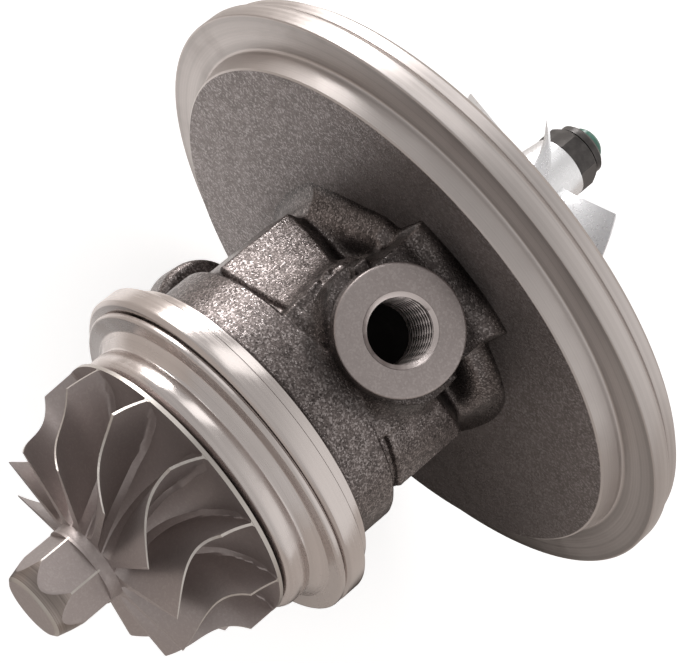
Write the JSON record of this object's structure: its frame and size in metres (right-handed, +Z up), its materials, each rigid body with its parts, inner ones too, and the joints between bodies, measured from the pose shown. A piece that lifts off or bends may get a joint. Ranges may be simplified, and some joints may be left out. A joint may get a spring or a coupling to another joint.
{
  "type": "turbocharger cartridge",
  "caption": "Turbocharger centre cartridge: cast bearing housing with round rim disc, oil inlet boss and drain flange, carrying a bladed turbine wheel and compressor wheel on one shaft.",
  "frame": {"origin": "on the rotor axis, in the plane of the rim ring's turbine-side face", "axes": "Y is the rotor axis, compressor wheel towards +Y and turbine wheel towards -Y; +Z is up, out of the oil inlet boss; the oil drain points to -Z"},
  "size_m": [0.112, 0.1273, 0.112],
  "materials": {
    "cast_iron": "shot-blasted casting with turned faces",
    "shield_steel": "satin pressed stainless sheet",
    "turbine_alloy": "matt investment casting with ground tips",
    "shaft_steel": "ground steel",
    "ring_steel": "ground steel",
    "bronze": "turned bearing bronze",
    "black_steel": "black oxide",
    "plate_aluminium": "turned",
    "wheel_aluminium": "cast, bead-blasted",
    "o_ring_rubber": "matt"
  },
  "bodies": {
    "housing": {"bearing_housing": "cast_iron", "heat_shield": "shield_steel", "turbine_piston_ring": "ring_steel", "bush_retaining_rings": "ring_steel", "thrust_bearing": "bronze", "thrust_bearing_screws": "black_steel", "compressor_piston_ring": "ring_steel", "oil_deflector": "ring_steel", "seal_plate": "plate_aluminium", "seal_plate_o_ring": "o_ring_rubber", "seal_plate_snap_ring": "black_steel"},
    "rotor": {"turbine_wheel": "turbine_alloy", "rotor_shaft": "shaft_steel", "inner_thrust_ring": "ring_steel", "thrust_sleeve": "ring_steel", "outer_thrust_ring": "ring_steel", "seal_sleeve": "ring_steel", "compressor_wheel": "wheel_aluminium", "lock_nut": "black_steel"},
    "turbine_bush": {"turbine_bush": "bronze"},
    "compressor_bush": {"compressor_bush": "bronze"}
  },
  "joints": [
    {"name": "rotor_spin", "type": "hinge", "parent": "housing", "child": "rotor", "pos_m": [0, 0, 0], "axis": [0, -1, 0], "continuous": true},
    {"name": "turbine_bush_spin", "type": "hinge", "parent": "housing", "child": "turbine_bush", "pos_m": [0, -0.0315, 0], "axis": [0, -1, 0], "continuous": true},
    {"name": "compressor_bush_spin", "type": "hinge", "parent": "housing", "child": "compressor_bush", "pos_m": [0, -0.012, 0], "axis": [0, -1, 0], "continuous": true}
  ],
  "couplings": [
    {"joint": "turbine_bush_spin", "follows": "rotor_spin", "ratio": 0.3},
    {"joint": "compressor_bush_spin", "follows": "rotor_spin", "ratio": 0.3}
  ]
}
